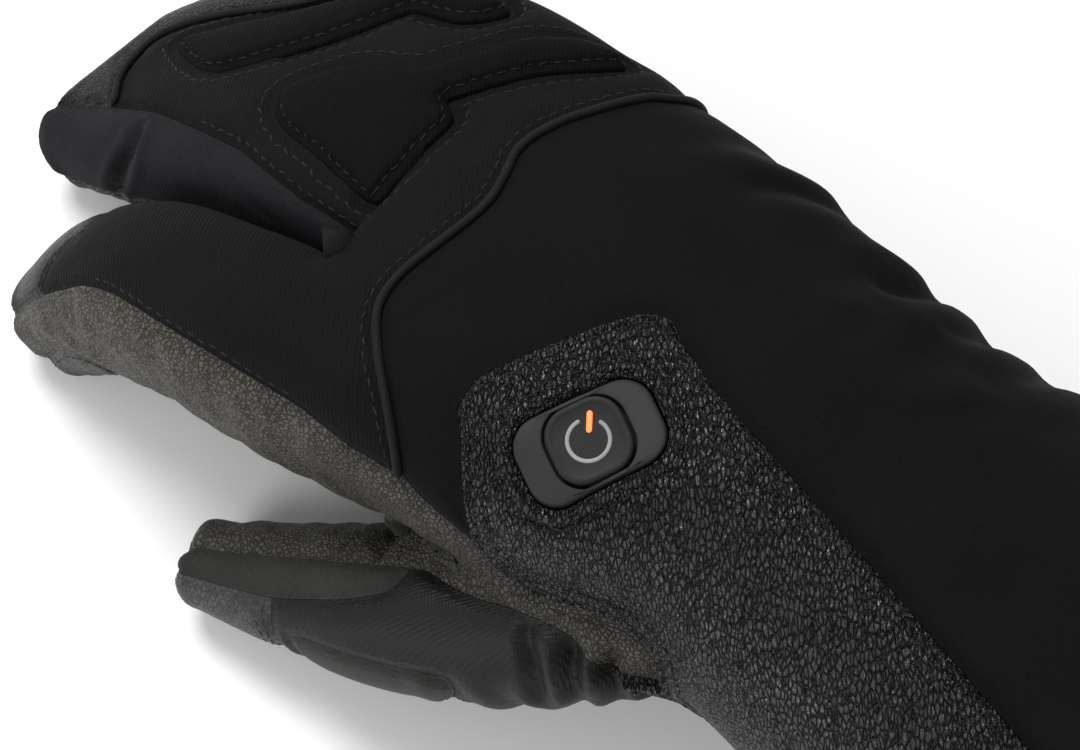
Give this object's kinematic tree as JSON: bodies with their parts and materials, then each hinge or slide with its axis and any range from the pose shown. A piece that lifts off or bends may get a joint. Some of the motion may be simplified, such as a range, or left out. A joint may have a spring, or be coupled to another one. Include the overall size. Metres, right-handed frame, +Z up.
{
  "type": "heated glove",
  "caption": "Padded right-hand ski glove with separate index finger, three-finger compartment, gauntlet cuff and a heating switch on a leather patch.",
  "frame": {"origin": "centre of the bounding box at the surface the glove lies on", "axes": "+X from the fingertips to the cuff, +Y to the little finger side, +Z up out of the back of the hand"},
  "size_m": [0.326, 0.1474, 0.0843],
  "materials": {
    "softshell": "matt woven softshell",
    "softshell_pad": "matt woven softshell over foam",
    "piping": "corded edge",
    "palm_leather": "fine pebbled goat leather",
    "side_fabric": "matt softshell",
    "cap_leather": "smooth grained leather",
    "touch_leather": "smooth conductive leather",
    "thumb_cap_leather": "smooth grained leather",
    "thumb_leather": "fine pebbled leather",
    "strip_fabric": "matt softshell",
    "thumb_fabric": "matt woven softshell",
    "suede": "short brushed nap",
    "gauntlet_fabric": "slightly glossy gathered fabric",
    "hem_fabric": "turned and stitched edge",
    "patch_leather": "coarse pebbled leather",
    "bezel_rubber": "matt moulded rubber",
    "button_rubber": "matt moulded rubber",
    "ring_print": "pale print",
    "light": "lit indicator"
  },
  "bodies": {
    "glove": {"back_panel": "softshell", "knuckle_panel": "softshell", "knuckle_pad": "softshell_pad", "finger_pad": "softshell_pad", "piping": "piping", "palm_leather": "palm_leather", "mitten_side": "side_fabric", "mitten_cap": "cap_leather", "index_cap": "cap_leather", "touch_tip": "touch_leather", "thumb_cap": "thumb_cap_leather", "thumb_palm": "thumb_leather", "thumb_side": "strip_fabric", "thumb_back": "thumb_fabric", "nose_wipe": "suede", "gauntlet_under": "gauntlet_fabric", "cuff_hem": "hem_fabric", "cuff_patch": "patch_leather", "switch_bezel": "bezel_rubber"},
    "button": {"power_button": "button_rubber", "power_ring": "ring_print", "power_light": "light"}
  },
  "joints": [
    {"name": "button_press", "type": "slide", "parent": "glove", "child": "button", "axis": [-0.0178, 0.086, -0.9961], "range_m": [0, 0.0008], "stiffness_N_per_m": 2500}
  ]
}
